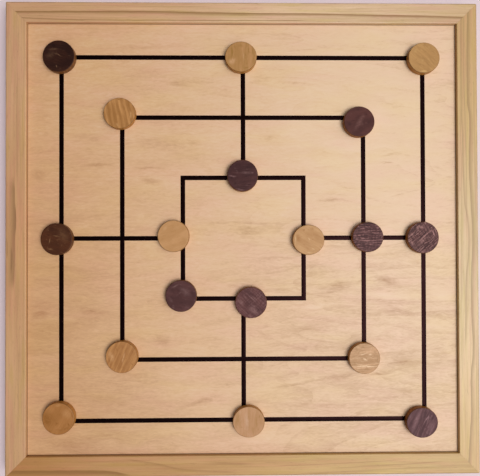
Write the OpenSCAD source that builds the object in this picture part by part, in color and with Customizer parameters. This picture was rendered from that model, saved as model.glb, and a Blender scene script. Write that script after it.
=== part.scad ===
// Nine men's morris board. A mitred pine frame holds a plywood panel in its grooves,
// dark strips let into the panel draw the lines, and eighteen loose wooden men stand
// on them as in a game.
// Sizes are in millimetres. The origin is the centre of the frame's underside,
// +X is to the player's right, +Y is away from the player and +Z is up.

/* [Frame] */
// Outer length of each side of the frame
frame_l = 350; // [330:1:420]
// Width of each rail, seen from above
rail_w = 15; // [12:0.5:20]
// Height of each rail
rail_h = 14; // [12:0.5:24]
// Radius of the rail's two long top edges
rail_edge_r = 0.6; // [0.2:0.1:1.2]
// Radius of the frame's four upright corners
corner_r = 1; // [0.4:0.1:3]
// Glue line between two rails where they meet at a corner
mitre_gap = 0.05; // [0.02:0.01:0.2]

/* [Panel] */
// Thickness of the plywood panel
panel_t = 4; // [3:0.5:6]
// Height of the frame's lip above the panel
lip_h = 3; // [2:0.5:5]
// Depth of the groove in each rail that holds the panel's edge
groove_d = 5; // [3:0.5:8]
// Room for the panel to swell, from its edge to the bottom of the groove
swell_gap = 0.5; // [0.2:0.1:1]
// Play between the panel's top face and the groove
face_gap = 0.1; // [0.05:0.05:0.3]

/* [Lines] */
// Distance from one point of the game to the next
pitch = 45; // [36:0.5:48]
// Width of the dark strips
strip_w = 3.4; // [1.6:0.1:5]
// Thickness of the dark strips, which lie flush with the panel
strip_t = 1; // [0.5:0.1:2]
// Glue line beside and between the strips
strip_gap = 0.03; // [0.01:0.01:0.1]

/* [Men] */
// Diameter of each man
man_d = 23.5; // [18:0.5:26]
// Height of each man
man_h = 5; // [4:0.5:10]
// Radius of each man's two round edges
man_edge_r = 0.6; // [0.2:0.1:1.5]

/* [Corner nails] */
// Height of each V-shaped corner nail
nail_h = 5; // [3:0.5:6]
// Length of each of a nail's two wings, one in each rail
nail_wing = 4; // [3:0.5:6]
// Thickness of a nail's steel
nail_t = 0.5; // [0.3:0.1:0.8]
// Distance from the frame's outer faces to the outer nail's bend
nail_inset = 4; // [3:0.5:6]
// Distance from the outer nail's bend to the inner nail's, along each rail
nail_step = 5; // [4:0.5:6]
// Depth that the nails are driven in below the underside
nail_set = 0.3; // [0.1:0.1:1]
// Clearance round each nail in its slot
nail_clear = 0.02; // [0.01:0.01:0.05]

/* [Hidden] */
$fn = 96;

frame_half = frame_l / 2;
opening_half = frame_half - rail_w;
panel_top = rail_h - lip_h;
panel_bottom = panel_top - panel_t;
panel_half = opening_half + groove_d - swell_gap;
man_r = man_d / 2;

// Material that a cut goes past a face, so that it leaves no skin
over = 1;

pine = [0.80, 0.65, 0.47];
plywood = [0.86, 0.72, 0.56];
dark_strip = [0.13, 0.08, 0.08];
dark_wood = [0.30, 0.19, 0.17];
light_wood = [0.70, 0.52, 0.33];
steel = [0.62, 0.63, 0.65];

// Each side is the back one turned clockwise by a quarter, as seen from above
SIDES = ["back", "right", "front", "left"];

// The three squares, each one pitch further from the centre than the last
SQUARES = ["inner", "middle", "outer"];

// Where the men stand: the point's column and row, counted in pitches from the
// centre, then how far the man stands off that point in X and Y
DARK_MEN = [
    [-3, 3, -0.5, -1],
    [-3, 0, -2, -0.5],
    [3, 0, -2, 0],
    [3, -3, -3.5, -1.5],
    [2, 2, -4, -4],
    [2, 0, 2, 0.5],
    [0, 1, -0.5, 1],
    [-1, -1, -1, 2.5],
    [0, -1, 5.5, -2.5]
];
LIGHT_MEN = [
    [0, 3, -1.5, -1],
    [3, 3, -0.5, -1.5],
    [-3, -3, -0.5, 3.5],
    [0, -3, 3.5, 0],
    [-2, 2, -1, 2],
    [-2, -2, 0.5, 3],
    [2, -2, -1, 1],
    [-1, 0, -6.5, 1.5],
    [1, 0, 3, -1.5]
];

// Turns a back part round to one of the four sides
module at_side(i) {
    rotate([0, 0, -90 * i]) children();
}

// A bar along the back, seen from above, from y = near to y = far. Both ends are
// cut at 45 degrees and set back by half of the gap
module mitred_bar(near, far, gap) {
    cut = gap / sqrt(2);
    polygon([
        [-far + cut, far],
        [far - cut, far],
        [near - cut, near],
        [-near + cut, near]
    ]);
}

// A rail's cross-section: x from its outer face inwards, y up. The two top edges
// are rounded, and the groove is open towards the panel
module rail_section() {
    r = rail_edge_r;
    difference() {
        union() {
            square([rail_w, rail_h - r]);
            translate([r, 0]) square([rail_w - 2 * r, rail_h]);
            translate([r, rail_h - r]) circle(r);
            translate([rail_w - r, rail_h - r]) circle(r);
        }
        translate([rail_w - groove_d, panel_bottom]) square([groove_d + over, panel_t + face_gap]);
    }
}

// What is cut away outside the rounded upright corner at +X +Y
module corner_waste() {
    translate([frame_half - corner_r, frame_half - corner_r, -over])
        linear_extrude(rail_h + 2 * over)
            difference() {
                square(corner_r + over);
                circle(corner_r);
            }
}

// One V-shaped nail from above, bend at the origin and a wing in each rail
module v_nail_plan(grow) {
    t = nail_t + 2 * grow;
    reach = nail_wing + t / 2 + grow;
    translate([t / 2 - reach, -t / 2]) square([reach, t]);
    translate([-t / 2, t / 2 - reach]) square([t, reach]);
}

// The two nails of the corner at +X +Y, in plan
module corner_nail_plans(grow) {
    for (k = [0, 1]) {
        bend = frame_half - nail_inset - k * nail_step;
        translate([bend, bend]) v_nail_plan(grow);
    }
}

// The slots that those nails make, open at the underside
module corner_nail_slots() {
    translate([0, 0, -over])
        linear_extrude(over + nail_set + nail_h + nail_clear) corner_nail_plans(nail_clear);
}

module rail(i) {
    color(pine) at_side(i) difference() {
        intersection() {
            translate([-frame_half, frame_half, 0])
                rotate([90, 0, 90]) linear_extrude(frame_l) mirror([1, 0]) rail_section();
            translate([0, 0, -over])
                linear_extrude(rail_h + 2 * over)
                    mitred_bar(opening_half - over, frame_half + over, mitre_gap);
        }
        for (side = [0, 1])
            mirror([side, 0, 0]) {
                corner_waste();
                corner_nail_slots();
            }
    }
}

module corner_v_nails() {
    color(steel) for (i = [0:3])
        at_side(i) translate([0, 0, nail_set]) linear_extrude(nail_h) corner_nail_plans(0);
}

// The lines of the game in plan, each side wider than the strips by the gap:
// three squares, and four links that run from the inner square to the outer one
module line_plan(gap) {
    w = strip_w + 2 * gap;
    for (k = [1:3])
        difference() {
            square(2 * k * pitch + w, center = true);
            square(2 * k * pitch - w, center = true);
        }
    for (i = [0:3])
        rotate(-90 * i) translate([-w / 2, pitch]) square([w, 2 * pitch]);
}

module playing_panel() {
    color(plywood) difference() {
        translate([-panel_half, -panel_half, panel_bottom])
            cube([2 * panel_half, 2 * panel_half, panel_t]);
        translate([0, 0, panel_top - strip_t]) linear_extrude(strip_t + over) line_plan(strip_gap);
    }
}

// One side of the square that lies k pitches from the centre
module square_strip(k, i) {
    color(dark_strip) at_side(i) translate([0, 0, panel_top - strip_t])
        linear_extrude(strip_t)
            mitred_bar(k * pitch - strip_w / 2, k * pitch + strip_w / 2, strip_gap);
}

// The link between the squares k and k + 1, which butts against both
module link_strip(k, i) {
    butt = strip_w / 2 + strip_gap;
    color(dark_strip) at_side(i)
        translate([-strip_w / 2, k * pitch + butt, panel_top - strip_t])
            cube([strip_w, pitch - 2 * butt, strip_t]);
}

// Half of a man's cross-section: x from his axis outwards, y up
module man_section() {
    r = man_edge_r;
    square([man_r - r, man_h]);
    translate([0, r]) square([man_r, man_h - 2 * r]);
    translate([man_r - r, r]) circle(r);
    translate([man_r - r, man_h - r]) circle(r);
}

// A man on the panel at one of the listed places
module man(place) {
    x = place[0] * pitch + place[2];
    y = place[1] * pitch + place[3];
    translate([x, y, panel_top]) rotate_extrude() man_section();
}

for (i = [0:3])
    rail(i);

corner_v_nails();
playing_panel();

for (k = [1:3], i = [0:3])
    square_strip(k, i);

for (i = [0:3]) {
    link_strip(1, i);
    link_strip(2, i);
}

for (i = [0:len(DARK_MEN) - 1])
    color(dark_wood) man(DARK_MEN[i]);

for (i = [0:len(LIGHT_MEN) - 1])
    color(light_wood) man(LIGHT_MEN[i]);
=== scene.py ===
"""Looks of the nine men's morris board: timber, inlay, men, light and camera.

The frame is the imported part's: +X to the player's right, +Y away from the player, +Z up,
origin at the centre of the frame's underside. Sizes and patterns are worked out in
millimetres, while the floor, the lamp and the camera are in metres.
"""

import math

import bmesh
import bpy
from mathutils import Matrix, Vector, noise


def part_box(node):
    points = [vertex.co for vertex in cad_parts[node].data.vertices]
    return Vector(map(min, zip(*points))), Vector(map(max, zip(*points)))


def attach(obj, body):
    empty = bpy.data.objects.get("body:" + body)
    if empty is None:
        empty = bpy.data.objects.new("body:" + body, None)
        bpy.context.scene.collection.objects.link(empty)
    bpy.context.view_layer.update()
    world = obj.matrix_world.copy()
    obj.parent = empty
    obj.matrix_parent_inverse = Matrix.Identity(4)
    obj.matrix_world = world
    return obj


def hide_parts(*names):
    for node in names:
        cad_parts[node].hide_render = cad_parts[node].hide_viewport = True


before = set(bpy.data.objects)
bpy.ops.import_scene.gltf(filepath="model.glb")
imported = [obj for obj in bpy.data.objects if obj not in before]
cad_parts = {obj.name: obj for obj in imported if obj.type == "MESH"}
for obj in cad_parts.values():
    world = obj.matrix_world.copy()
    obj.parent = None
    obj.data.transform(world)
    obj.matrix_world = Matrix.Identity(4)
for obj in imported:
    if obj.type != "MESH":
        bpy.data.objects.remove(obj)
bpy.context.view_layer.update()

MM = 0.001
SIDES = ["back", "right", "front", "left"]
SQUARES = ["inner", "middle", "outer"]


def box_mm(node):
    """The low and the high corner of a CAD node's box, in millimetres."""
    return [[c / MM for c in corner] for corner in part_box(node)]


# Sizes read off the frame
rail_lo, rail_hi = box_mm("back_rail")
panel_lo, panel_hi = box_mm("playing_panel")
FRAME_HALF = rail_hi[1]
RAIL_W = rail_hi[1] - rail_lo[1]
RAIL_H = rail_hi[2]
OPENING_HALF = FRAME_HALF - RAIL_W
PANEL_TOP = panel_hi[2]
PANEL_BOTTOM = panel_lo[2]
# Small sizes that the boxes don't show: the radii of the rails' top edges and of the frame's
# upright corners, the panel's play in height and its room to swell in the groove
EDGE_R = 0.6
CORNER_R = 1.0
FACE_GAP = 0.1
SWELL_GAP = 0.5
GROOVE_DEEP = panel_hi[1] - OPENING_HALF + SWELL_GAP


# Helpers that make objects

def new_object(name, data):
    """Puts a mesh, a lamp or a camera in the scene under that name."""
    obj = bpy.data.objects.new(name, data)
    bpy.context.scene.collection.objects.link(obj)
    return obj


def mesh_from(name, points, faces):
    """A mesh from points in millimetres, smooth except over its sharp edges."""
    sharp = math.radians(35)
    mesh = bpy.data.meshes.new(name)
    mesh.from_pydata([Vector(p) * MM for p in points], [], faces)
    mesh.validate()
    bm = bmesh.new()
    bm.from_mesh(mesh)
    bmesh.ops.recalc_face_normals(bm, faces=bm.faces)
    for edge in bm.edges:
        edge.smooth = edge.is_manifold and edge.calc_face_angle(0) < sharp
    for face in bm.faces:
        face.smooth = True
    bm.to_mesh(mesh)
    bm.free()
    return mesh


def loft(rings):
    """Points and faces that join rings of equal length one to the next, both ends capped."""
    n = len(rings[0])
    points = [p for ring in rings for p in ring]
    faces = []
    for k in range(len(rings) - 1):
        a, b = k * n, (k + 1) * n
        faces += [(a + i, a + (i + 1) % n, b + (i + 1) % n, b + i) for i in range(n)]
    faces.append(tuple(range(n)))
    faces.append(tuple(len(points) - n + i for i in range(n)))
    return points, faces


def set_grain(obj, centre, turn_deg):
    """Gives each point its place in its own piece of timber: x along the grain, y across
    it and z up, in millimetres from the centre."""
    turn = Matrix.Rotation(math.radians(-turn_deg), 3, "Z")
    places = obj.data.attributes.new("grain", "FLOAT_VECTOR", "POINT")
    for i, v in enumerate(obj.data.vertices):
        places.data[i].vector = turn @ (v.co / MM - Vector(centre))


def set_level(obj, name, level_at):
    """Gives each point a number, which level_at works out from the point in millimetres."""
    levels = obj.data.attributes.new(name, "FLOAT", "POINT")
    for i, v in enumerate(obj.data.vertices):
        levels.data[i].value = level_at(v.co / MM)


def stands_for(obj, node, body, material):
    """Dresses a new piece and puts it in the place of a CAD node."""
    obj.data.materials.clear()
    obj.data.materials.append(material)
    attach(obj, body)
    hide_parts(node)


# Materials

def rgba(colour):
    """A colour with its alpha, or a node's output as it is."""
    return (*colour, 1.0) if isinstance(colour, tuple) else colour


class Nodes:
    """Builds a node tree. Most methods add a node or two and return an output."""

    def __init__(self, tree):
        self.tree = tree

    def add(self, kind, *values, **settings):
        """Adds a node, and links or sets its inputs in turn."""
        node = self.tree.nodes.new("ShaderNode" + kind)
        for key, value in settings.items():
            setattr(node, key, value)
        for socket, value in zip(node.inputs, values):
            self.put(socket, value)
        return node

    def put(self, socket, value):
        """Links an output to a socket, or sets the socket's own value."""
        if isinstance(value, bpy.types.NodeSocket):
            self.tree.links.new(value, socket)
        elif value is not None:
            socket.default_value = value

    def math(self, operation, a, b=None, c=None, clamp=False):
        return self.add("Math", a, b, c, operation=operation, use_clamp=clamp).outputs[0]

    def swing(self, level, width):
        """A level from 0 to 1, spread evenly to both sides of zero over that width."""
        return self.math("MULTIPLY_ADD", level, width, -width / 2)

    def vector(self, operation, a, b=None):
        return self.add("VectorMath", a, b, operation=operation).outputs[0]

    def length(self, vector):
        return self.add("VectorMath", vector, operation="LENGTH").outputs["Value"]

    def turned(self, vector, angle):
        """The vector turned about Z by an angle in radians."""
        node = self.add("VectorRotate", rotation_type="Z_AXIS")
        self.put(node.inputs["Vector"], vector)
        self.put(node.inputs["Angle"], angle)
        return node.outputs[0]

    def level(self, name):
        """A number that each point of the mesh carries under that name."""
        return self.add("Attribute", attribute_name=name).outputs["Fac"]

    def grain(self):
        """The piece's own grain coordinates, in millimetres."""
        return self.add("Attribute", attribute_name="grain").outputs["Vector"]

    def object_mm(self):
        """The part's coordinates, in millimetres."""
        place = self.add("TexCoord").outputs["Object"]
        return self.vector("MULTIPLY", place, (1 / MM,) * 3)

    def split(self, vector):
        return tuple(self.add("SeparateXYZ", vector).outputs)

    def join(self, x, y, z):
        return self.add("CombineXYZ", x, y, z).outputs[0]

    def noise(self, place, cell, shift=(0, 0, 0), detail=2.0, roughness=0.5):
        """Noise from 0 to 1 whose blobs are about cell = (x, y, z) millimetres."""
        scaled = self.vector("MULTIPLY", place, tuple(1 / c for c in cell))
        node = self.add("TexNoise", self.vector("ADD", scaled, shift))
        node.inputs["Scale"].default_value = 1.0
        node.inputs["Detail"].default_value = detail
        node.inputs["Roughness"].default_value = roughness
        return node.outputs[0]

    def ramp(self, value, low, high, to_low=0.0, to_high=1.0, way="SMOOTHSTEP"):
        """value from low to high, mapped to to_low to to_high and held there outside."""
        settings = {"interpolation_type": way, "clamp": True}
        return self.add("MapRange", value, low, high, to_low, to_high, **settings).outputs[0]

    def mix(self, share, a, b):
        """Colour a, with b mixed in by share."""
        node = self.add("Mix", data_type="RGBA", clamp_factor=True)
        self.put(node.inputs["Factor"], share)
        self.put(node.inputs[6], rgba(a))
        self.put(node.inputs[7], rgba(b))
        return node.outputs[2]

    def bump(self, height, distance_mm, normal=None):
        node = self.add("Bump")
        self.put(node.inputs["Height"], height)
        node.inputs["Distance"].default_value = distance_mm * MM
        self.put(node.inputs["Normal"], normal)
        return node.outputs[0]


class Look(Nodes):
    """Builds one material."""

    def __init__(self, name):
        self.material = bpy.data.materials.new(name)
        self.material.use_nodes = True
        super().__init__(self.material.node_tree)
        self.shader = self.tree.nodes["Principled BSDF"]

    def finish(self, colour, roughness, normal=None, specular=0.5, sheen_tint=(1.0, 1.0, 1.0),
               metallic=0.0):
        """Sets the shader. sheen_tint colours what the surface reflects from straight above."""
        shader = self.shader.inputs
        self.put(shader["Base Color"], rgba(colour))
        self.put(shader["Roughness"], roughness)
        self.put(shader["Normal"], normal)
        shader["Specular IOR Level"].default_value = specular
        shader["Specular Tint"].default_value = rgba(sheen_tint)
        shader["Metallic"].default_value = metallic
        return self.material


def blot_group():
    """A node group: 1 at the middle of a slanting oval, falling softly to 0 at its rim."""
    group = bpy.data.node_groups.new("blot", "ShaderNodeTree")
    for label in ("Place", "Centre", "Turn", "Shrink"):
        kind = "NodeSocketFloat" if label == "Turn" else "NodeSocketVector"
        group.interface.new_socket(label, in_out="INPUT", socket_type=kind)
    group.interface.new_socket("Level", in_out="OUTPUT", socket_type="NodeSocketFloat")
    nodes = Nodes(group)
    start = group.nodes.new("NodeGroupInput").outputs
    away = nodes.vector("SUBTRACT", start["Place"], start["Centre"])
    shrunk = nodes.vector("MULTIPLY", nodes.turned(away, start["Turn"]), start["Shrink"])
    end = group.nodes.new("NodeGroupOutput")
    nodes.put(end.inputs["Level"], nodes.ramp(nodes.length(shrunk), 1.0, 0.0))
    return group


BLOT = blot_group()


def blots(look, place, spots, reach=1.0):
    """The levels of all the spots, added up. A spot is its two ends in millimetres, its
    width and its level. With a reach above 1 it fades out past its ends."""
    total = 0.0
    for (x0, y0), (x1, y1), width, level in spots:
        node = look.add("Group", node_tree=BLOT)
        look.put(node.inputs["Place"], place)
        node.inputs["Centre"].default_value = ((x0 + x1) / 2, (y0 + y1) / 2, 0)
        node.inputs["Turn"].default_value = -math.atan2(y1 - y0, x1 - x0)
        half = math.hypot(x1 - x0, y1 - y0) / 2 * reach
        node.inputs["Shrink"].default_value = (1 / half, 2 / (width * 1.5), 0)
        total = look.math("MULTIPLY_ADD", node.outputs["Level"], level, total)
    return total


# Streaks in the plywood's face: two ends in millimetres, width, and how much darker
# (or, below zero, lighter) the wood is there
STREAKS = [
    ((-78, 117), (-6, 116), 3.2, 0.50),
    ((-62, 116), (-32, 113.5), 3.0, 0.70),
    ((4, 124), (22, 117), 9, 0.40),
    ((18, 118), (70, 112.5), 2.4, 0.75),
    ((-133, 76), (-96, 74), 8, 0.45),
    ((-88, 72), (-20, 67), 8, 0.50),
    ((-46, 72), (-26, 71), 5, 0.40),
    ((-126, 55), (-94, 54.5), 2.2, 0.80),
    ((-87, 52.5), (-56, 52), 2.2, 0.90),
    ((-80, 44), (-57, 42), 5, 0.75),
    ((8, 78), (34, 75), 12, 0.45),
    ((48, 28), (86, 28), 3, 0.75),
    ((104, 29), (130, 35), 2, 0.80),
    ((-36, 11.5), (40, 11), 2.2, 0.75),
    ((-16, 3), (26, 6), 9, 0.60),
    ((2, -15.5), (43, -15), 2, 0.65),
    ((50, -39), (88, -34), 7.5, 0.95),
    ((49, -42), (78, -40), 2.2, 0.80),
    ((94, -29), (120, -34), 6.5, 0.90),
    ((86, -40), (132, -45), 5, -0.80),
    ((24, -53.5), (86, -48.5), 3.4, -0.80),
    ((138, -42), (160, -44), 10, -0.70),
    ((14, -113.5), (66, -104), 2.4, 0.75),
    ((52, -106), (90, -101), 4.2, 0.95),
    ((84, -104), (126, -98), 3.4, 0.75),
    ((-56, -128), (-4, -113), 3.4, 0.60),
    ((-70, -73), (-51, -77), 9, 0.70),
    ((-133, -52), (-94, -56), 4.5, 0.65),
    ((-160, -56), (-142, -56), 5, 0.75),
    ((-160, 48), (-142, 48), 7, 0.65),
    ((-150, 108), (-150, 72), 13, 0.35),
    ((138, -88), (158, -87), 6, 0.55),
    ((100, -53), (130, -56), 5, 0.55),
    ((108, -90), (130, -94), 9, 0.50),
    ((96, 60), (124, 64), 2.2, 0.60),
    ((96, 55), (118, 58), 2.0, 0.60),
    ((138, 56), (156, 48), 2.2, 0.55),
    ((108, 104), (122, 94), 12, 0.45),
    ((-150, -150), (-110, -158), 9, 0.40),
    ((-20, -146), (50, -150), 11, -0.45),
    ((-66, -46), (-50, -53), 3, 0.50),
    ((58, 98), (96, 92), 6, 0.30),
    ((-120, 140), (-20, 146), 4, 0.30),
    ((30, 147), (120, 141), 4.5, 0.35),
    ((-108, -100), (-50, -104), 7, 0.25),
    ((20, -80), (76, -84), 5, 0.40),
]
# Broad patches, given the same way, which darken or, below zero, lighten the panel. The last
# two darken the lower right, where the lamp's reflection is strongest: painted shade.
PATCHES = [
    ((-190, 120), (-150, -260), 190, 0.75),
    ((-170, -110), (-20, -200), 110, 0.60),
    ((-70, 90), (200, 80), 160, -0.72),
    ((80, -110), (180, -110), 110, 0.30),
    ((-70, -115), (230, -65), 180, 0.36),
]

# The plywood's tone at the left and at the right. The paler right is partly the wood's own tone and
# partly a painted sheen of the light from the right.
LEFT_PLY = (0.615, 0.350, 0.176)
RIGHT_PLY_AND_SHEEN = (0.725, 0.500, 0.320)
PLY_DARK = (0.33, 0.145, 0.050)
PLY_LIGHT = (0.80, 0.60, 0.42)
PLY_PORE = (0.26, 0.12, 0.05)
# Painted shade: the dark line where the panel runs into the rails' grooves, in the crevice at
# the foot of their inner walls
PLY_CREVICE_SHADE = (0.10, 0.034, 0.008)


def panel_look():
    """Pale rotary-cut plywood, paler to the right partly in its own tone and partly by painted sheen:
    wavy grain along X, streaks and patches, flowing figure lines that show mostly at the
    right, and slight drifts of hue."""
    look = Look("panel_plywood")
    place = look.object_mm()
    x, y, z = look.split(place)
    sway = look.swing(look.noise(place, (34, 11, 40), shift=(9, 4, 0), detail=2), 7.0)
    ripple = look.swing(look.noise(place, (7, 3, 20), shift=(2, 8, 0), detail=2), 2.2)
    wavy_y = look.math("ADD", look.math("ADD", y, sway), ripple)
    wavy = look.join(x, wavy_y, z)
    nudged = look.join(x, look.math("ADD", look.math("MULTIPLY_ADD", sway, 0.45, y), ripple), z)

    side = look.math("ADD", x, look.swing(look.noise(wavy, (90, 30, 40), detail=2), 60.0))
    # Paler towards the right: partly the wood's own tone, partly painted sheen.
    colour = look.mix(look.ramp(side, -150.0, 110.0, way="LINEAR"), LEFT_PLY, RIGHT_PLY_AND_SHEEN)

    total = blots(look, nudged, STREAKS)
    # The patches include painted shade at the lower right, against the lamp's reflection there.
    patches = blots(look, nudged, PATCHES)
    broken = look.noise(wavy, (5, 1.3, 20), shift=(1, 1, 0), detail=3)
    streaks = look.math("MULTIPLY_ADD", total, look.ramp(broken, 0.25, 0.65, 0.55, 1.55), patches)

    cloud = look.noise(wavy, (48, 9, 40), detail=3, roughness=0.55)
    dash = look.noise(wavy, (8, 1.1, 20), shift=(3, 7, 0), detail=3, roughness=0.6)
    hair = look.noise(wavy, (2.6, 0.45, 20), shift=(6, 2, 0), detail=2)
    shade = look.math("ADD", look.swing(cloud, 0.26), look.swing(dash, 0.30))
    shade = look.math("ADD", shade, look.swing(hair, 0.26))
    shade = look.math("MULTIPLY_ADD", streaks, 0.17, shade)
    figure = look.noise(place, (120, 26, 60), shift=(8, 3, 0), detail=1)
    figure = look.math("POWER", look.math("FRACT", look.math("MULTIPLY", figure, 7.0)), 3.0)
    shown = look.ramp(broken, 0.25, 0.60, 0.2, 1.0)
    shown = look.math("MULTIPLY", shown, look.ramp(x, -60, 60, 0.03, 0.10))
    shade = look.math("MULTIPLY_ADD", figure, shown, look.math("ADD", shade, -0.012))
    colour = look.mix(look.math("MULTIPLY", shade, 2.0, clamp=True), colour, PLY_DARK)
    colour = look.mix(look.math("MULTIPLY", shade, -2.0, clamp=True), colour, PLY_LIGHT)

    drift = look.noise(wavy, (42, 13, 40), shift=(5, 5, 0), detail=2)
    yellowish = look.vector("MULTIPLY", colour, (1.00, 1.015, 0.95))
    pinkish = look.vector("MULTIPLY", colour, (1.01, 0.98, 1.03))
    colour = look.mix(look.ramp(drift, 0.50, 0.68), colour, yellowish)
    colour = look.mix(look.ramp(drift, 0.50, 0.32), colour, pinkish)

    pore = look.ramp(look.noise(wavy, (2.4, 0.3, 9), shift=(7, 7, 0), detail=1), 0.70, 0.80, 0, 0.16)
    colour = look.mix(pore, colour, PLY_PORE)
    out = look.math("MAXIMUM", look.math("ABSOLUTE", x), look.math("ABSOLUTE", y))
    # Painted shade in the crevice along the rails' inner walls.
    crevice_shade = look.ramp(out, OPENING_HALF - 0.5, OPENING_HALF - 0.1, 0, 0.85)
    colour = look.mix(crevice_shade, colour, PLY_CREVICE_SHADE)
    rough = look.math("MULTIPLY_ADD", dash, 0.16, 0.44)
    normal = look.bump(look.math("ADD", dash, hair), 0.012, normal=look.bump(cloud, 0.10))
    return look.finish(colour, rough, normal, specular=0.42)


# A ring line whose end lies this far along a rail, in millimetres, runs on into the mitre
MITRE_ZONE = 155


def ring_line(look, along, across, points, soft_mm):
    """A growth ring as (along, across) points: sharp on one side, soft on the other.
    A soft side below zero lies towards the rail's outer face."""
    sharp_mm = 0.25
    curve = look.add("FloatCurve")
    track = curve.mapping.curves[0]
    places = [((u + FRAME_HALF) / (2 * FRAME_HALF), v / RAIL_W) for u, v in sorted(points)]
    for _ in places[2:]:
        track.points.new(0.5, 0.5)
    for point, place in zip(track.points, places):
        point.location = place
        point.handle_type = "AUTO"
    curve.mapping.use_clip = False
    curve.mapping.extend = "HORIZONTAL"
    curve.mapping.update()
    look.put(curve.inputs["Value"], look.math("MULTIPLY_ADD", along, 1 / (2 * FRAME_HALF), 0.5))
    past = look.math("SUBTRACT", across, look.math("MULTIPLY", curve.outputs[0], RAIL_W))
    if soft_mm < 0:
        past = look.math("MULTIPLY", past, -1.0)
    sharp = look.ramp(past, -sharp_mm, sharp_mm * 0.4)
    soft = look.ramp(past, 0.0, abs(soft_mm), 1.0, 0.0)
    first, last = min(u for u, v in points), max(u for u, v in points)
    fade = min(12, (last - first) / 3)
    level = look.math("MULTIPLY", sharp, soft)
    if first > -MITRE_ZONE:
        level = look.math("MULTIPLY", level, look.ramp(along, first, first + fade))
    if last < MITRE_ZONE:
        level = look.math("MULTIPLY", level, look.ramp(along, last - fade, last, 1.0, 0.0))
    return level


def tone_along(look, along, tones):
    """A rail's plain tone, blended between (place along the rail, colour) pairs."""
    node = look.add("ValToRGB")
    stops = node.color_ramp.elements
    while len(stops) < len(tones):
        stops.new(0.5)
    for stop, (u, colour) in zip(stops, tones):
        stop.position = (u + FRAME_HALF) / (2 * FRAME_HALF)
        stop.color = rgba(colour)
    look.put(node.inputs[0], look.math("MULTIPLY_ADD", along, 1 / (2 * FRAME_HALF), 0.5))
    return node.outputs[0]


def pine_look(name, tones, band_tone, rings, seed):
    """Straight-grained pine of one rail, with its own growth rings."""
    look = Look(name)
    grain = look.grain()
    along, y, up = look.split(grain)
    across = look.math("SUBTRACT", FRAME_HALF, y)
    place = look.vector("ADD", grain, (seed * 137.0, seed * 53.0, seed * 11.0))
    sway = look.noise(place, (55, 9, 9), detail=2)
    ripple = look.noise(place, (9, 2.5, 2.5), detail=1)
    rippled = look.math("ADD", across, look.swing(ripple, 0.5))
    bent = look.math("ADD", rippled, look.swing(sway, 1.6))

    cloud = look.noise(place, (70, 4, 4), shift=(0, 3, 3), detail=2)
    colour = look.mix(look.ramp(cloud, 0.3, 0.7, 0, 0.30), tone_along(look, along, tones), band_tone)

    depth = look.math("ADD", bent, look.math("MULTIPLY", up, 0.55))
    turns = look.math("FRACT", look.math("DIVIDE", look.math("MULTIPLY_ADD", sway, 3.0, depth), 2.3))
    shown = look.ramp(look.noise(place, (60, 5, 5), shift=(5, 0, 0)), 0.35, 0.7, 0.05, 0.38)
    late = look.math("MULTIPLY", look.math("POWER", turns, 3.0), shown)
    colour = look.mix(late, colour, band_tone)

    ring_tone = tuple(c * 0.8 for c in band_tone)
    for points, soft_mm, level in rings:
        line = ring_line(look, along, rippled, points, soft_mm)
        colour = look.mix(look.math("MULTIPLY", line, level), colour, ring_tone)

    fibre = look.noise(place, (26, 0.5, 0.5), detail=3, roughness=0.6)
    colour = look.mix(look.ramp(fibre, 0.45, 0.8, 0, 0.42), colour, band_tone)
    pale = tuple(c * 1.2 for c in tones[1][1])
    colour = look.mix(look.ramp(fibre, 0.45, 0.2, 0, 0.22), colour, pale)
    vessel = look.noise(place, (5, 0.22, 0.22), shift=(4, 4, 4), detail=1)
    dark_band_tone = tuple(c * 0.45 for c in band_tone)
    colour = look.mix(look.ramp(vessel, 0.66, 0.78, 0, 0.55), colour, dark_band_tone)

    drift = look.noise(place, (38, 3.5, 3.5), shift=(9, 2, 6), detail=2)
    greenish = look.vector("MULTIPLY", colour, (0.95, 1.0, 0.78))
    pinkish = look.vector("MULTIPLY", colour, (1.03, 0.92, 1.04))
    colour = look.mix(look.ramp(drift, 0.50, 0.72, 0, 0.75), colour, greenish)
    colour = look.mix(look.ramp(drift, 0.50, 0.30, 0, 0.75), colour, pinkish)

    # Darker along the outer top edge, in patches.
    edge_darkening = look.ramp(look.noise(place, (11, 3, 3)), 0.3, 0.6, 0.25, 0.9)
    edge_darkening = look.math("MULTIPLY", look.level("outer_top_edge"), edge_darkening)
    colour = look.mix(look.math("MULTIPLY", edge_darkening, 0.45), colour, dark_band_tone)

    rough = look.math("MULTIPLY_ADD", fibre, 0.2, 0.36)
    relief = look.math("ADD", look.math("MULTIPLY", late, 0.8), look.math("MULTIPLY", fibre, 0.6))
    return look.finish(colour, rough, look.bump(relief, 0.03), specular=0.55)


def strip_look():
    """Near-black dyed veneer, faintly mottled, with paler fibres and an uneven sheen."""
    look = Look("dark_inlay")
    place = look.grain()
    mottle = look.noise(place, (3.2, 1.0, 2), detail=3, roughness=0.6)
    fibre = look.noise(place, (14, 0.35, 2), shift=(4, 4, 0), detail=2)
    black, brown, pale = (0.0010, 0.0003, 0.0003), (0.0050, 0.0016, 0.0016), (0.0100, 0.0040, 0.0040)
    colour = look.mix(look.ramp(mottle, 0.42, 0.75, 0, 0.8), black, brown)
    colour = look.mix(look.ramp(fibre, 0.55, 0.8, 0, 0.4), colour, pale)
    rubbed = look.noise(place, (22, 2.0, 4), shift=(1, 5, 0), detail=3, roughness=0.6)
    rough = look.math("MULTIPLY_ADD", rubbed, 0.36, look.math("MULTIPLY_ADD", mottle, 0.16, 0.05))
    normal = look.bump(look.math("ADD", mottle, fibre), 0.02)
    return look.finish(colour, rough, normal, specular=0.07, sheen_tint=(1.0, 0.36, 0.38))


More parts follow.
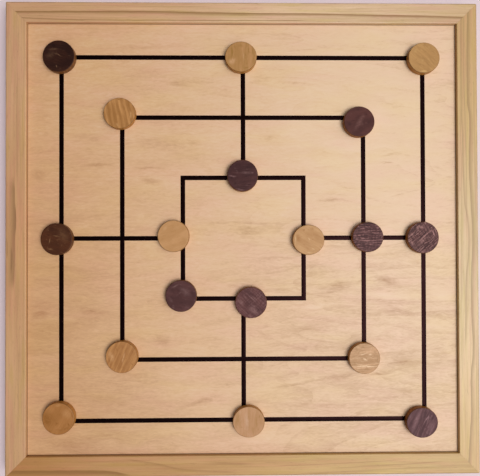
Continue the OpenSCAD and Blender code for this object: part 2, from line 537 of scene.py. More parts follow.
def saw_marks(look, place, turn_deg, step_mm):
    """The grooves and the torn ridges that a saw leaves about step_mm apart, as levels
    from 0 to 1. They are uneven in spacing and length, and fade here and there."""
    turned = look.turned(place, math.radians(turn_deg))
    sway = look.noise(turned, (16, 2.4 * step_mm, 5), detail=2)
    path = look.math("MULTIPLY_ADD", sway, 3.2 * step_mm, look.split(turned)[1])
    wave = look.math("DIVIDE", look.math("PINGPONG", path, step_mm / 2), step_mm / 2)
    long_breaks = look.noise(turned, (5.0, 0.9, 3), shift=(4, 1, 0), detail=2)
    short_breaks = look.noise(turned, (1.9, 0.8, 3), shift=(1, 6, 0), detail=2)
    groove = look.ramp(look.math("MULTIPLY_ADD", long_breaks, 2.2, wave), 1.55, 2.15)
    ridge = look.ramp(look.math("MULTIPLY_ADD", short_breaks, -2.6, wave), -0.85, -1.45)
    strong = look.ramp(look.noise(turned, (7, 5, 5), shift=(2, 9, 0), detail=1), 0.35, 0.62, 0.35, 1.0)
    return look.math("MULTIPLY", groove, strong), look.math("MULTIPLY", ridge, strong)


def man_look(name, gloss, sheen_tint, wall, seed, turn, tone, pale, deep, marks, cloudy=0.35,
             grain_mix=0.4, saw=0.0, saw_mm=1.8, cross=0.0, stripe_mm=3.0, stripe=0.0, fleck=0.0):
    """One man's wood. The face carries its clouds, fibres, stripes, saw marks and flecks in
    the given strengths, and marks of its own: patches and scratches in his deep tone or,
    below zero, his pale one. The wall has a tone of its own, and the edge a painted shade."""
    look = Look(name)
    place = look.vector("ADD", look.grain(), (seed * 41.0, seed * 29.0, seed * 3.0))
    along, across, up = look.split(place)
    bend = look.swing(look.noise(place, (16, 8, 8), detail=1), 2.4)
    curved = look.join(along, look.math("ADD", across, bend), up)

    cloud = look.noise(curved, (15, 7, 9), shift=(7, 2, 0), detail=2)
    tone = look.mix(look.ramp(cloud, 0.35, 0.65, 0, cloudy), tone, deep)
    mottle = look.noise(place, (3.4, 2.6, 4), shift=(2, 2, 5), detail=3, roughness=0.6)
    tone = look.mix(look.ramp(mottle, 0.40, 0.25, 0, 0.45), tone, pale)
    broad = look.noise(curved, (26, 3.2, 4), detail=2)
    fibre = look.noise(curved, (9, 0.55, 2), shift=(3, 3, 0), detail=3, roughness=0.6)
    colour = look.mix(look.ramp(broad, 0.35, 0.65, 0, 0.55 * grain_mix), tone, deep)
    colour = look.mix(look.ramp(mottle, 0.55, 0.75, 0, 0.55), colour, deep)
    colour = look.mix(look.ramp(fibre, 0.42, 0.70, 0, 0.75 * grain_mix), colour, deep)
    colour = look.mix(look.ramp(fibre, 0.45, 0.22, 0, 0.60 * grain_mix), colour, pale)
    relief = look.math("MULTIPLY", fibre, 0.35 * grain_mix)

    if stripe:
        wander = look.noise(curved, (20, 6, 6), shift=(8, 0, 0))
        path = look.math("MULTIPLY_ADD", wander, 1.4, look.split(curved)[1])
        wave = look.math("PINGPONG", path, stripe_mm / 2)
        line = look.ramp(wave, stripe_mm * 0.5, stripe_mm * 0.12)
        uneven = look.ramp(look.noise(curved, (12, 2.5, 2), shift=(1, 9, 0)), 0.3, 0.6, 0.35, 1.0)
        line = look.math("MULTIPLY", line, look.math("MULTIPLY", uneven, stripe))
        colour = look.mix(line, colour, deep)

    for strength, angle in ((saw, 0.0), (cross, 97.0)):
        if strength:
            groove, ridge = saw_marks(look, place, angle, saw_mm)
            # Painted shade in the saw grooves and a painted highlight on the ridges, besides their bump.
            colour = look.mix(look.math("MULTIPLY", groove, 0.85 * strength), colour, deep)
            colour = look.mix(look.math("MULTIPLY", ridge, 0.85 * strength), colour, pale)
            relief = look.math("MULTIPLY_ADD", ridge, 0.9 * strength, relief)
            relief = look.math("MULTIPLY_ADD", groove, -0.9 * strength, relief)

    sway = look.swing(look.noise(place, (6, 6, 6), shift=(6, 1, 0), detail=2), 2.4)
    level = look.turned(look.grain(), math.radians(turn))
    level = blots(look, look.vector("ADD", level, look.join(sway, sway, 0.0)), marks, reach=1.4)
    broken = look.ramp(look.noise(place, (1.6, 1.1, 2), shift=(9, 4, 0), detail=2), 0.3, 0.6, 0.7, 1.6)
    level = look.math("MULTIPLY", level, broken)
    colour = look.mix(look.math("MULTIPLY", level, 1.0, clamp=True), colour, deep)
    colour = look.mix(look.math("MULTIPLY", level, -1.0, clamp=True), colour, pale)

    if fleck:
        spots = look.noise(place, (1.5, 0.8, 1), shift=(2, 5, 0), detail=2)
        colour = look.mix(look.ramp(spots, 0.62, 0.74, 0, fleck), colour, pale)

    # Painted shade: the rim where the face turns over into the wall is darkened, unevenly.
    rim_shade = look.ramp(look.noise(place, (3, 3, 3), detail=2), 0.3, 0.6, 0.55, 0.95)
    rim_shade = look.math("MULTIPLY", look.level("edge"), rim_shade)
    colour = look.mix(rim_shade, colour, tuple(c * 0.25 for c in wall))
    ends = look.noise(place, (1.2, 1.2, 9), detail=2)
    bark = look.mix(look.ramp(ends, 0.35, 0.7, 0, 0.4), wall, deep)
    colour = look.mix(look.level("side"), colour, bark)

    rough = look.math("MULTIPLY_ADD", fibre, 0.2, 0.36)
    return look.finish(colour, rough, look.bump(relief, 0.07), specular=gloss, sheen_tint=sheen_tint)


def steel_look():
    """Plain nail steel, drawn along its height and dulled in spots."""
    look = Look("nail_steel")
    place = look.object_mm()
    drawn = look.noise(place, (0.3, 0.3, 4), detail=2)
    dull = look.ramp(look.noise(place, (1.5, 1.5, 1.5), detail=2), 0.5, 0.7)
    colour = look.mix(look.math("MULTIPLY", dull, 0.6), (0.55, 0.56, 0.58), (0.30, 0.27, 0.25))
    rough = look.math("MULTIPLY_ADD", dull, 0.3, look.math("MULTIPLY_ADD", drawn, 0.2, 0.2))
    return look.finish(colour, rough, look.bump(drawn, 0.01), metallic=1.0)


# Frame

def rail_section():
    """A rail's cross-section as (across from the outer face, up), with rounded top edges,
    the panel's groove and slightly eased lower edges."""
    r = EDGE_R
    arc = [math.radians(15 * k) for k in range(7)]
    outer = [(r - r * math.cos(a), RAIL_H - r + r * math.sin(a)) for a in arc]
    flat = [(r + (RAIL_W - 2 * r) * k, RAIL_H) for k in (0.04, 0.15, 0.3, 0.5, 0.7, 0.85, 0.96)]
    inner = [(RAIL_W - u, z) for u, z in reversed(outer)]
    deep = RAIL_W - GROOVE_DEEP
    roof = PANEL_TOP + FACE_GAP
    groove = [(RAIL_W, roof), (deep, roof), (deep, PANEL_BOTTOM), (RAIL_W, PANEL_BOTTOM)]
    ease = 0.25
    foot = [(RAIL_W, ease), (RAIL_W - ease, 0), (RAIL_W / 2, 0), (ease, 0), (0, ease), (0, RAIL_H / 2)]
    return outer + flat + inner + groove + foot


def rail_mesh(name):
    """The back rail: its section carried along X between two mitres, closer set towards
    them, and bent round the frame's upright corners."""
    section = rail_section()
    mitre_cut = 0.035
    steps = 110
    pivot = FRAME_HALF - CORNER_R
    rings = []
    for k in range(steps + 1):
        station = math.cos(math.pi * k / steps)
        ring = []
        for u, z in section:
            x = station * (FRAME_HALF - u - mitre_cut)
            y = FRAME_HALF - u
            if u < CORNER_R and abs(x) > pivot:
                r = CORNER_R - u
                turn = (abs(x) - pivot) / r * math.pi / 4
                x = math.copysign(pivot + r * math.sin(turn), x)
                y = pivot + r * math.cos(turn)
            ring.append((x, y, z))
        rings.append(ring)
    points, faces = loft(rings)
    return mesh_from(name, points, faces)


def outer_edge_level(p):
    """1 on a rail's outer top edge, which is drawn darker, and 0 elsewhere."""
    inwards = FRAME_HALF - max(abs(p.x), abs(p.y))
    near = EDGE_R + 0.05
    return float(inwards < near and p.z > RAIL_H - near)


# Each rail's plain tones from one end to the other, its band tone and its growth rings. A
# tone is its place along the rail in millimetres and a colour. The rings are drawn in a
# deeper band tone. A ring is its points as (along the rail, in from the outer face), the
# width of its soft side, which lies outwards when it is below zero, and its strength
PINE = {
    # The back rail rises in tone from its left end to its middle: partly the pine's own tone, partly
    # painted sheen.
    "back": ([(-150, (0.60, 0.34, 0.185)), (-80, (0.655, 0.385, 0.21)), (0, (0.73, 0.485, 0.29)),
              (80, (0.705, 0.485, 0.295)), (160, (0.635, 0.43, 0.235))], (0.38, 0.20, 0.07), [
        ([(-175, 7.2), (0, 7.8), (175, 10.0)], 16, 0.10),
        ([(-175, 6.9), (-120, 6.7), (-61, 6.7), (-39, 7.3), (-17, 7.6), (13, 7.9), (57, 8.0),
          (87, 8.6), (116, 8.9), (138, 9.3), (175, 10.6)], 2.6, 1.0),
        ([(-110, 6.4), (-60, 6.4), (-20, 7.2), (10, 7.6)], 3.4, 0.30),
        ([(-164, 11.6), (-140, 12.6), (-110, 13.1), (-60, 13.2), (0, 13.1), (50, 12.9)], 1.0, 0.95),
        ([(-150, 2.4), (-20, 2.9)], 1.2, 0.30),
        ([(-160, 7.4), (-110, 7.0), (-70, 7.0)], 1.4, 0.70),
        ([(90, 9.2), (120, 9.5), (160, 10.2)], 1.6, 0.60),
    ]),
    "right": ([(-150, (0.56, 0.34, 0.14)), (-90, (0.61, 0.395, 0.165)), (-30, (0.62, 0.43, 0.215)),
               (30, (0.645, 0.465, 0.24)), (90, (0.725, 0.51, 0.265)), (155, (0.635, 0.415, 0.18))],
              (0.40, 0.235, 0.085), [
        ([(-175, 7.0), (-131, 7.8), (-102, 7.6), (-87, 6.1), (-57, 6.6), (-28, 5.6), (2, 4.5),
          (31, 5.7), (61, 5.4), (83, 4.7), (105, 6.5), (128, 6.3), (142, 7.0), (175, 9.4)], -3.6, 0.80),
        ([(-175, 12.2), (-131, 12.6), (-94, 12.5), (-79, 11.7), (-57, 11.4), (-28, 10.3),
          (2, 7.4), (31, 9.6), (61, 10.1), (83, 10.9)], -2.0, 0.60),
        ([(-160, 10.2), (-120, 10.3), (-80, 9.4), (-40, 8.9), (-5, 9.6)], -1.3, 0.50),
        ([(-100, 13.2), (-40, 12.6), (40, 12.9), (110, 13.1)], -1.2, 0.40),
        ([(-120, 3.2), (20, 1.6)], -1.5, 0.3),
        ([(60, 1.6), (160, 3.2)], -1.5, 0.3),
    ]),
    "front": ([(-150, (0.54, 0.35, 0.13)), (-105, (0.58, 0.37, 0.13)), (-45, (0.55, 0.335, 0.12)),
               (0, (0.525, 0.295, 0.11)), (60, (0.515, 0.28, 0.11)), (100, (0.51, 0.275, 0.11)),
               (150, (0.435, 0.205, 0.065))], (0.33, 0.15, 0.036), [
        ([(175, 5.3), (135, 5.0), (106, 4.7), (98, 4.2), (91, 3.0), (80, 0.6)], -5.5, 0.90),
        ([(170, 4.6), (135, 4.4), (104, 3.9), (92, 2.4)], -3.0, 0.55),
        ([(91, 14.2), (61, 9.1), (39, 4.8), (2, 3.4)], -2.6, 0.40),
        ([(28, 10.4), (-9, 8.7)], -2.4, 0.45),
        ([(-40, 1.6), (-85, 3.2), (-116, 4.7), (-146, 6.0), (-175, 6.6)], -2.4, 0.30),
        ([(-60, 5.0), (-110, 7.2), (-150, 9.6)], -1.2, 0.40),
        ([(-20, 7.0), (-70, 8.6), (-120, 11.0)], -1.0, 0.35),
        ([(120, 11.5), (60, 12.4)], -1.2, 0.3),
    ]),
    "left": ([(-100, (0.575, 0.33, 0.165)), (0, (0.565, 0.30, 0.135)), (100, (0.595, 0.34, 0.175))],
             (0.34, 0.175, 0.07), [
        ([(-40, 6.2), (2, 7.2), (48, 6.6)], -6.5, 0.75),
        ([(0, 6.6), (14, 7.9), (28, 6.6)], -2.2, 1.0),
        ([(-28, 4.2), (-15, 5.2), (-4, 4.2)], -2.2, 1.0),
        ([(-16, 1.0), (-8, 1.7), (2, 1.0)], -1.0, 0.80),
        ([(-170, 9.8), (-60, 10.6)], -1.2, 0.2),
        ([(40, 9.2), (160, 8.4)], -1.4, 0.2),
    ]),
}
for i, side in enumerate(SIDES):
    rail = new_object(side + "_rail_dressed", rail_mesh(side + "_rail_dressed"))
    rail.data.transform(Matrix.Rotation(math.radians(-90 * i), 4, "Z"))
    set_grain(rail, (0, 0, 0), -90 * i)
    set_level(rail, "outer_top_edge", outer_edge_level)
    pine = pine_look("pine_" + side, *PINE[side], i + 1)
    stands_for(rail, side + "_rail", "board", pine)


# Panel and nails keep their CAD shape

def dress_node(node, material):
    """Gives a CAD node a new material."""
    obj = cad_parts[node]
    obj.data.materials.clear()
    obj.data.materials.append(material)


dress_node("playing_panel", panel_look())
dress_node("corner_v_nails", steel_look())


# Strips

def bar_mesh(name, lo, hi, mitred):
    """A strip along X that fills the box from lo to hi, its top very slightly crowned. A
    mitred one is shorter along its inner side."""
    crown = 0.08
    width = hi[1] - lo[1]
    across = [k / 6 for k in range(7)]
    section = [(lo[1] + a * width, hi[2] - crown * (2 * a - 1) ** 2) for a in across]
    section += [(hi[1], lo[2]), (lo[1], lo[2])]
    rings = []
    steps = 24
    for k in range(steps + 1):
        t = 2 * k / steps - 1
        ring = []
        for y, z in section:
            half = (hi[0] - lo[0]) / 2 - (hi[1] - y if mitred else 0)
            ring.append(((lo[0] + hi[0]) / 2 + t * half, y, z))
        rings.append(ring)
    points, faces = loft(rings)
    return mesh_from(name, points, faces)


inlay = strip_look()
for i, side in enumerate(SIDES):
    for square in SQUARES:
        node = f"{square}_square_{side}_strip"
        lo, hi = box_mm(f"{square}_square_back_strip")
        strip = new_object(node + "_dressed", bar_mesh(node, lo, hi, True))
        strip.data.transform(Matrix.Rotation(math.radians(-90 * i), 4, "Z"))
        set_grain(strip, (0, 0, 0), -90 * i)
        stands_for(strip, node, "board", inlay)
    for link in ["inner", "outer"]:
        node = f"{link}_link_{side}_strip"
        lo, hi = box_mm(f"{link}_link_right_strip")
        strip = new_object(node + "_dressed", bar_mesh(node, lo, hi, False))
        strip.data.transform(Matrix.Rotation(math.radians(90 - 90 * i), 4, "Z"))
        set_grain(strip, (0, 0, 0), 90 - 90 * i)
        stands_for(strip, node, "board", inlay)


# Men

# The radius of a man's edges, and how far his face dips
MAN_EDGE = 0.5
MAN_DIP = 0.05


def man_profile(radius, height):
    """Half of a man's section as (out from the axis, up), from the middle of his
    underside round to the middle of his face."""
    quarter = [math.radians(15 * k) for k in range(7)]
    inner = radius - MAN_EDGE
    foot = [(inner * k / 10, 0) for k in range(1, 10)]
    foot += [(inner + MAN_EDGE * math.sin(a), MAN_EDGE - MAN_EDGE * math.cos(a)) for a in quarter]
    wall = [(radius, MAN_EDGE + (height - 2 * MAN_EDGE) * k / 4) for k in range(1, 4)]
    top = [(inner + MAN_EDGE * math.cos(a), height - MAN_EDGE + MAN_EDGE * math.sin(a)) for a in quarter]
    face = [(inner * k, height) for k in (0.97, 0.93)]
    face += [(inner * k / 16, height) for k in range(14, 0, -1)]
    return foot + wall + top + face


def man_mesh(name, centre, radius, height, oval, seed):
    """A man sawn from a stick: not quite round, and his face not quite flat. oval is his
    width and depth as shares of the full size."""
    turns = 120
    waver, nicks = 0.0035, 0.0012
    profile = man_profile(radius, height)
    points = [centre]
    for r, z in profile:
        for k in range(turns):
            a = 2 * math.pi * k / turns
            out = Vector((math.cos(a), math.sin(a), 0))
            uneven = noise.noise(out * 1.6 + Vector((seed * 7.3, 0, 0)))
            fine = noise.noise(out * 9.0 + Vector((0, seed * 5.1, z * 0.3)))
            rr = r * (1 - waver * (1 + uneven) - nicks * (1 + fine))
            sunk = 1 + noise.noise(out * r * 0.12 + Vector((seed * 3.7, seed, 0)))
            dip = MAN_DIP * sunk if z > height / 2 else 0
            across, deep = rr * out.x * oval[0], rr * out.y * oval[1]
            points.append((centre[0] + across, centre[1] + deep, centre[2] + z - dip))
    points.append((centre[0], centre[1], centre[2] + height - MAN_DIP))
    faces = [(0, 1 + (k + 1) % turns, 1 + k) for k in range(turns)]
    for ring in range(len(profile) - 1):
        a, b = 1 + ring * turns, 1 + (ring + 1) * turns
        faces += [(a + k, a + (k + 1) % turns, b + (k + 1) % turns, b + k) for k in range(turns)]
    last = 1 + (len(profile) - 1) * turns
    top = len(points) - 1
    faces += [(last + k, last + (k + 1) % turns, top) for k in range(turns)]
    return mesh_from(name, points, faces)


def out_and_down(p, centre, height, oval):
    """How far a point of a man lies out from his axis, his oval undone, and below his face."""
    out = math.hypot((p.x - centre[0]) / oval[0], (p.y - centre[1]) / oval[1])
    return out, height - (p.z - centre[2])


def man_side(centre, radius, height, oval):
    """Tells how far round the edge from face to wall a point lies, from 0 to 1."""
    def level(p):
        out, down = out_and_down(p, centre, height, oval)
        if out < radius - 1.5 * MAN_EDGE:
            return 0.0
        return min(1.0, max(0.0, down / MAN_EDGE - 0.25))
    return level


def man_edge(centre, radius, height, oval):
    """Tells whether a point lies where the face turns over into the wall: 1 there, else 0."""
    def level(p):
        out, down = out_and_down(p, centre, height, oval)
        return float(out > radius - 0.7 * MAN_EDGE and down < 0.75 * MAN_EDGE + 2 * MAN_DIP)
    return level


def man(turn, tone, pale, deep, marks, oval=(1, 1), wall=None, **strengths):
    """One man's shape and wood, in man_look's terms. turn is the way of his grain or saw
    marks in degrees from +X, marks are in millimetres from his middle in X and Y, and oval
    is his width and depth as shares of the full size."""
    wood = dict(turn=turn, tone=tone, pale=pale, deep=deep, marks=marks, **strengths)
    return oval, wall, wood


# Men 1, 2 and 8 stand at the left, where the walls the camera sees face the lamp; their darker walls are
# painted shade.
DARK_MEN = [
    man(170, (0.034, 0.010, 0.005), (0.145, 0.075, 0.040), (0.010, 0.003, 0.002), [
        ((-7.5, 4.5), (0.5, 5.5), 1.6, -0.35), ((-3.4, 1.9), (2.4, -0.1), 0.7, -0.6),
        ((-1.4, -6.4), (-1.0, -8.2), 0.8, -0.9), ((-5.0, 8.5), (-2.0, 7.0), 2.5, 0.5),
        ((-9.0, -2.0), (-3.0, 3.0), 5.0, -0.2), ((6.0, 5.0), (9.5, -1.0), 3.0, 0.4),
    ], cloudy=0.6, grain_mix=0.4, wall=(0.20, 0.080, 0.024)),
    man(165, (0.080, 0.024, 0.008), (0.220, 0.110, 0.050), (0.032, 0.010, 0.004), [
        ((-4.6, 9.0), (-2.0, 5.5), 3.2, 0.35), ((3.0, 8.0), (7.5, -2.0), 7.0, -0.2),
        ((-2.0, 2.9), (2.1, 1.7), 0.7, -0.8), ((-4.3, 1.2), (-5.3, -3.4), 0.9, -0.6),
        ((-6.4, -6.7), (-2.2, -7.3), 1.0, -0.6), ((-6.6, 2.6), (-4.2, 3.6), 1.0, 0.6),
    ], (0.99, 1), cloudy=0.5, grain_mix=0.35, wall=(0.16, 0.060, 0.018)),
    man(39, (0.088, 0.030, 0.026), (0.370, 0.190, 0.170), (0.020, 0.005, 0.004), [
        ((-6.5, -4.2), (5.6, 7.4), 0.9, 0.95), ((-5.2, -4.6), (6.4, 6.0), 0.8, -0.7),
        ((-1.2, -9.2), (4.8, -4.2), 1.0, 0.9), ((-9.0, 0.5), (-3.5, 6.5), 0.8, 0.7),
        ((6.0, 5.6), (9.4, 1.0), 0.8, -0.9), ((8.0, 6.5), (10.2, 3.2), 0.7, -0.8),
        ((-7.2, 5.6), (-4.4, 7.4), 2.6, 0.45), ((-8.4, 3.4), (-7.2, 1.4), 1.1, -0.8),
        ((-2.0, 8.4), (1.0, 7.2), 2.0, -0.45), ((-9.8, -2.6), (-7.6, -6.2), 1.2, -0.5),
        ((2.0, -1.0), (7.0, 5.0), 2.5, 0.4),
    ], saw=0.75, saw_mm=2.1, cross=0.35),
    man(64, (0.106, 0.042, 0.044), (0.260, 0.140, 0.145), (0.042, 0.014, 0.016), [
        ((-7.5, -6.5), (-1.5, 9.0), 3.2, -0.4), ((0.2, 1.6), (3.0, 9.0), 2.0, 0.6),
        ((1.2, 0.0), (4.6, 5.0), 0.7, -0.8), ((3.6, 0.5), (5.2, 7.0), 0.7, -0.5),
        ((-3.0, -9.8), (-0.8, -4.0), 0.9, 0.7), ((-9.5, -3.0), (-7.6, 2.6), 1.2, 0.6),
        ((5.0, -9.0), (8.0, 2.0), 4.0, -0.25), ((7.2, 2.4), (7.9, 4.4), 1.0, 0.7),
    ], (0.995, 0.95), cloudy=0.5, grain_mix=0.6, saw=0.35, saw_mm=3.0, stripe=0.4, stripe_mm=4.4),
    man(20, (0.084, 0.026, 0.020), (0.140, 0.060, 0.050), (0.036, 0.009, 0.007), [
        ((-8.8, -3.0), (-5.4, -0.6), 2.6, 0.7), ((-6.2, 0.4), (-2.6, 0.9), 0.8, 0.6),
        ((5.8, -1.4), (8.4, 0.4), 2.0, 0.55), ((-3.5, -6.5), (3.5, 5.5), 3.4, -0.45),
        ((3.2, 6.4), (5.6, 3.6), 2.2, 0.45), ((-4.0, 8.8), (3.0, 9.6), 1.6, 0.5),
        ((-1.0, -1.0), (3.0, -3.0), 2.5, -0.3),
    ], (0.975, 0.965), cloudy=0.6, grain_mix=0.3),
    man(0, (0.068, 0.022, 0.020), (0.300, 0.145, 0.135), (0.018, 0.005, 0.005), [
        ((-6.0, 6.2), (-2.0, 6.3), 0.8, -0.7), ((-8.0, 4.1), (3.0, 3.9), 0.8, -0.45),
        ((-6.0, 8.6), (5.0, 8.8), 1.2, 0.4), ((-9.0, -2.4), (9.0, -2.2), 0.9, -0.6),
        ((-3.0, -4.2), (8.0, -3.9), 0.9, -0.5), ((4.5, 2.4), (9.8, 2.6), 0.9, -0.5),
        ((-9.8, -1.2), (-6.2, -1.4), 1.0, -0.5),
    ], (0.985, 0.955), saw=0.85, saw_mm=1.9, cross=0.25),
    man(3, (0.070, 0.024, 0.022), (0.170, 0.090, 0.085), (0.024, 0.007, 0.007), [
        ((-6.0, 7.6), (-1.0, 7.7), 0.9, 0.8), ((1.0, 6.4), (7.5, 6.1), 0.8, 0.6),
        ((-10.4, -0.2), (-4.5, -0.3), 1.3, -0.7), ((-2.0, 1.8), (8.0, 2.8), 2.4, -0.35),
        ((-9.2, -1.8), (-6.6, -1.3), 0.9, 0.7), ((3.2, -6.7), (6.8, -6.5), 0.9, 0.7),
        ((6.6, 2.6), (8.4, 2.2), 0.9, -0.6), ((-8.0, -4.0), (6.0, -4.6), 2.6, 0.3),
        ((-5.0, -10.0), (2.0, -10.4), 1.0, -0.5),
    ], (0.975, 1), cloudy=0.6, grain_mix=0.7),
    man(-14, (0.086, 0.032, 0.030), (0.160, 0.085, 0.080), (0.038, 0.013, 0.012), [
        ((-1.0, 6.0), (7.0, 0.5), 4.5, -0.4), ((-7.0, 6.0), (-1.6, 8.5), 1.2, -0.5),
        ((-2.6, 2.2), (1.4, -1.6), 1.6, 0.35), ((7.4, 4.4), (9.8, -0.6), 2.6, 0.3),
        ((-4.0, -8.4), (3.0, -9.2), 2.6, 0.35), ((-9.0, -1.0), (-6.0, -4.6), 2.6, -0.25),
        ((-3.0, 0.6), (0.4, 3.0), 0.8, -0.35),
    ], (0.985, 0.995), cloudy=0.5, grain_mix=0.25, wall=(0.20, 0.078, 0.022)),
    man(-45, (0.114, 0.040, 0.036), (0.265, 0.140, 0.130), (0.046, 0.014, 0.014), [
        ((-2.0, -3.0), (6.0, -8.5), 4.0, -0.35), ((-8.8, 3.0), (-6.0, -2.6), 2.2, -0.3),
        ((3.6, -3.4), (7.4, -6.8), 0.9, 0.6), ((4.2, -6.8), (7.0, -3.6), 0.9, 0.5),
        ((-4.0, 8.5), (4.0, 4.0), 2.4, 0.35), ((-1.0, 6.4), (3.5, 0.6), 1.0, -0.35),
    ], (1, 0.985), cloudy=0.5, grain_mix=0.5, saw=0.4, saw_mm=2.2, cross=0.25),
]
LIGHT_MEN = [
    man(88, (0.485, 0.240, 0.095), (0.585, 0.330, 0.165), (0.285, 0.140, 0.025), [
        ((-6.4, 9.4), (-6.9, -2.2), 1.5, 0.75), ((-4.4, 9.6), (-4.1, 5.4), 1.2, 0.5),
        ((-2.2, 8.6), (1.6, 7.2), 3.0, 0.4), ((5.6, 8.0), (5.5, 1.6), 1.0, 0.55),
        ((8.4, 6.0), (8.4, 1.0), 1.0, 0.35), ((-8.6, -2.0), (-4.4, -4.6), 4.6, -0.5),
        ((2.2, -8.4), (6.2, -7.6), 0.9, 0.6), ((1.4, 4.0), (2.0, -4.0), 1.4, -0.3),
    ], (1, 0.96), cloudy=0.4, grain_mix=0.5, stripe=0.25, stripe_mm=6.0),
    man(-42, (0.460, 0.240, 0.080), (0.585, 0.350, 0.130), (0.315, 0.155, 0.045), [
        ((-5.8, -3.3), (1.2, -6.4), 0.9, 0.6), ((-2.4, 0.6), (3.0, -3.4), 0.9, 0.5),
        ((1.4, -3.6), (5.0, -7.2), 0.9, 0.55), ((-5.4, 8.6), (-2.4, 5.6), 0.9, 0.45),
        ((-1.0, 3.4), (2.6, 5.4), 0.9, 0.3), ((-3.0, -10.2), (1.6, -10.6), 1.2, -0.9),
        ((-7.6, 3.6), (-5.0, 6.6), 2.4, -0.2), ((4.4, 6.6), (7.6, 3.0), 0.8, 0.35),
    ], (1, 0.975), cloudy=0.3, grain_mix=0.5, saw=0.25, saw_mm=2.0),
    man(60, (0.400, 0.170, 0.050), (0.465, 0.225, 0.085), (0.235, 0.085, 0.012), [
        ((-9.5, 6.0), (-6.5, -6.5), 9.0, 0.6), ((3.5, 6.0), (9.0, 1.0), 6.0, -0.45),
        ((9.9, 5.6), (10.4, -0.6), 0.9, 0.7), ((6.8, -3.2), (8.2, -5.2), 1.4, 0.6),
        ((-1.4, -2.7), (0.2, -3.6), 1.0, 0.4), ((-2.0, 9.6), (2.0, 9.9), 1.6, -0.5),
        ((-2.0, -8.0), (4.0, -8.6), 2.0, 0.2),
    ], cloudy=0.3, grain_mix=0.3),
    man(86, (0.505, 0.265, 0.135), (0.585, 0.350, 0.225), (0.350, 0.170, 0.050), [
        ((-7.6, 7.0), (-7.8, -5.0), 5.2, 0.45), ((-1.8, 7.5), (-1.2, -7.0), 3.0, -0.45),
        ((5.2, 5.5), (5.8, -5.0), 1.2, 0.4), ((7.8, 5.4), (8.4, 3.0), 0.8, 0.6),
        ((8.6, 1.4), (8.8, -2.2), 0.8, 0.35), ((2.6, -3.0), (3.2, -8.4), 1.2, 0.35),
        ((6.6, -6.0), (8.0, -3.8), 0.9, 0.4),
    ], (1, 0.965), cloudy=0.3, grain_mix=0.5, fleck=0.3),
    man(-77, (0.540, 0.260, 0.090), (0.610, 0.335, 0.140), (0.285, 0.120, 0.028), [
        ((-2.0, -7.4), (-1.0, -10.0), 1.5, -0.4), ((8.0, 1.5), (8.6, -4.0), 1.6, -0.4),
        ((-1.2, 1.6), (-0.2, 0.0), 1.0, 0.5), ((-2.0, 9.8), (1.0, 10.2), 0.9, 0.7),
    ], (1, 0.97), cloudy=0.4, grain_mix=0.5, stripe=0.8, stripe_mm=3.8),
    man(66, (0.525, 0.250, 0.085), (0.605, 0.330, 0.150), (0.285, 0.110, 0.028), [
        ((-9.0, 4.0), (-6.0, -3.0), 3.6, -0.4), ((-4.2, 6.6), (-2.8, 3.8), 0.9, 0.6),
        ((-9.4, -1.0), (-8.0, -3.6), 0.9, 0.5), ((-0.6, 9.0), (1.6, 7.2), 2.6, 0.4),
        ((7.0, 5.0), (8.2, 2.4), 0.9, 0.6), ((7.4, -4.0), (8.4, -6.0), 0.9, 0.55),
        ((-1.2, 3.2), (0.0, 0.6), 0.8, 0.4), ((2.2, 3.6), (0.8, -4.0), 1.4, -0.45),
    ], (1, 0.995), cloudy=0.4, grain_mix=0.8, stripe=0.6, stripe_mm=3.0),
    man(2, (0.560, 0.305, 0.155), (0.745, 0.505, 0.305), (0.325, 0.165, 0.060), [
        ((-8.5, -5.6), (9.4, -5.8), 1.1, -0.85), ((-3.8, 3.0), (2.0, 3.7), 0.9, -0.6),
        ((2.0, 2.8), (5.6, 2.7), 0.9, -0.6), ((-7.4, 7.9), (-4.4, 6.5), 2.0, 0.65),
        ((-2.6, 8.4), (0.4, 7.6), 1.6, 0.5), ((6.6, 5.2), (8.8, 3.6), 1.8, 0.5),
        ((9.6, 2.0), (9.8, -3.0), 1.6, 0.55), ((-8.8, -2.0), (-6.4, -3.4), 1.3, 0.45),
        ((-1.6, 0.0), (2.0, -1.8), 1.1, -0.6), ((-9.4, 1.6), (-5.0, 2.2), 0.9, 0.4),
        ((0.0, -8.6), (6.0, -8.2), 1.0, 0.4),
    ], (0.985, 0.975), cloudy=0.4, grain_mix=0.7, saw=0.35, saw_mm=3.4, fleck=0.4),
    man(20, (0.510, 0.265, 0.110), (0.595, 0.340, 0.165), (0.385, 0.185, 0.060), [
        ((-8.0, 4.0), (-4.0, 7.5), 2.4, -0.3), ((6.0, -1.0), (9.6, -5.0), 3.6, 0.3),
        ((-2.6, -6.4), (2.0, -7.4), 2.0, 0.25), ((0.0, 5.0), (5.0, 7.0), 3.0, -0.2),
    ], (0.99, 1), cloudy=0.4, grain_mix=0.25),
    man(-30, (0.525, 0.285, 0.120), (0.620, 0.385, 0.185), (0.345, 0.150, 0.040), [
        ((-8.4, 5.0), (-6.2, -1.5), 3.6, 0.6), ((-3.8, 8.2), (-2.8, 6.4), 1.4, 0.8),
        ((1.0, 9.0), (4.4, 7.8), 2.6, 0.4), ((-0.8, 1.4), (1.2, -0.6), 0.9, -0.6),
        ((2.6, -5.6), (4.6, -7.4), 1.0, -0.5), ((-2.0, -9.0), (3.0, -9.6), 1.2, -0.5),
        ((4.0, 5.0), (7.4, 2.0), 3.0, 0.2), ((-9.8, 4.0), (-9.6, -4.0), 1.0, -0.6),
    ], (1, 0.95), cloudy=0.4, grain_mix=0.35),
]
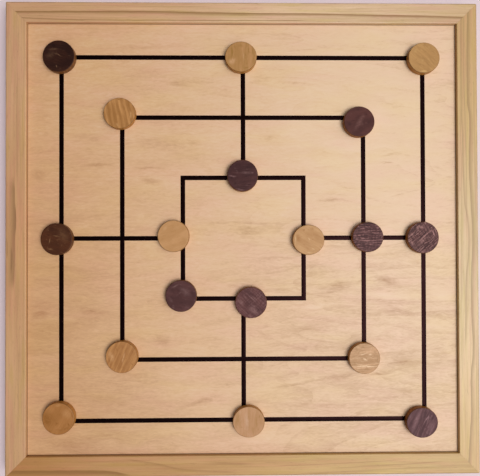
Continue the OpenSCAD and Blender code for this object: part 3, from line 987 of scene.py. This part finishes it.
# The tone of the men's walls, the gloss of their wood and the tint of that gloss
WALL = {"dark": (0.33, 0.122, 0.024), "light": (0.45, 0.195, 0.042)}
GLOSS = {"dark": 0.21, "light": 0.30}
SHEEN_TINT = {"dark": (1.0, 0.72, 0.74), "light": (1.0, 0.95, 0.88)}
for colour_name, men in (("dark", DARK_MEN), ("light", LIGHT_MEN)):
    for i, (oval, wall, wood) in enumerate(men):
        node = f"{colour_name}_man_{i + 1}"
        lo, hi = box_mm(node)
        centre = ((lo[0] + hi[0]) / 2, (lo[1] + hi[1]) / 2, lo[2])
        radius, height = (hi[0] - lo[0]) / 2, hi[2] - lo[2]
        seed = i + 1 if colour_name == "dark" else i + 21
        wall = wall or WALL[colour_name]
        piece = new_object(node + "_dressed", man_mesh(node, centre, radius, height, oval, seed))
        set_grain(piece, centre, wood["turn"])
        set_level(piece, "side", man_side(centre, radius, height, oval))
        set_level(piece, "edge", man_edge(centre, radius, height, oval))
        look = man_look(node + "_wood", GLOSS[colour_name], SHEEN_TINT[colour_name], wall, seed, **wood)
        stands_for(piece, node, node, look)


# Floor

bpy.ops.mesh.primitive_plane_add(size=4.0, location=(0, 0, 0))
floor = bpy.context.object
floor.name = "floor"
FLOOR_TONE = (0.70, 0.575, 0.60)
floor_look = Look("floor_pale")
floor.data.materials.append(floor_look.finish(FLOOR_TONE, 0.9, specular=0.1))


# Light

def room_light(tree):
    """A plain white room. Its level rises from the left to the right and from the walls up
    to the ceiling, which keeps the shadows short. The camera sees it in the floor's tone."""
    sky = Nodes(tree)
    right, back, up = sky.split(sky.add("TexCoord").outputs["Generated"])
    lean = sky.math("MULTIPLY_ADD", back, -0.20, right)
    level = sky.ramp(lean, -0.60, 0.60, 0.10, 1.15)
    ceiling = sky.ramp(up, 0.30, 0.90, 0.40, 1.0)
    seen = sky.add("LightPath").outputs["Is Camera Ray"]
    lit = sky.math("MULTIPLY", level, sky.math("SUBTRACT", 1.0, seen))
    backdrop = tree.nodes["Background"]
    sky.put(backdrop.inputs["Color"], sky.mix(seen, (1.0, 1.0, 1.0), FLOOR_TONE))
    sky.put(backdrop.inputs["Strength"], sky.math("MULTIPLY_ADD", lit, ceiling, seen))


world = bpy.data.worlds.new("room")
bpy.context.scene.world = world
world.use_nodes = True
room_light(world.node_tree)


def square_lamp(name, side, distance, azimuth_deg, elevation_deg, power):
    """A square white lamp that looks at the board's centre."""
    data = bpy.data.lights.new(name, "AREA")
    data.shape = "SQUARE"
    data.size = side
    data.energy = power
    a, e = math.radians(azimuth_deg), math.radians(elevation_deg)
    way = Vector((math.cos(e) * math.cos(a), math.cos(e) * math.sin(a), math.sin(e)))
    lamp = new_object(name, data)
    lamp.location = way * distance
    lamp.rotation_euler = way.to_track_quat("Z", "Y").to_euler()


square_lamp("key", side=1.0, distance=2.0, azimuth_deg=-24, elevation_deg=66, power=26)


# Camera: straight above the board, with a very small tilt

PICTURE_W = 480
FOCAL_PX = 462.5
camera_data = bpy.data.cameras.new("camera")
camera_data.sensor_fit = "HORIZONTAL"
camera_data.sensor_width = 36.0
camera_data.lens = FOCAL_PX / PICTURE_W * camera_data.sensor_width
camera = new_object("camera", camera_data)
camera.location = (-0.0072, -0.0031, 0.356)
camera.rotation_euler = (0.0092, -0.0137, -0.0028)
bpy.context.scene.camera = camera

bpy.context.scene.view_settings.view_transform = "Standard"
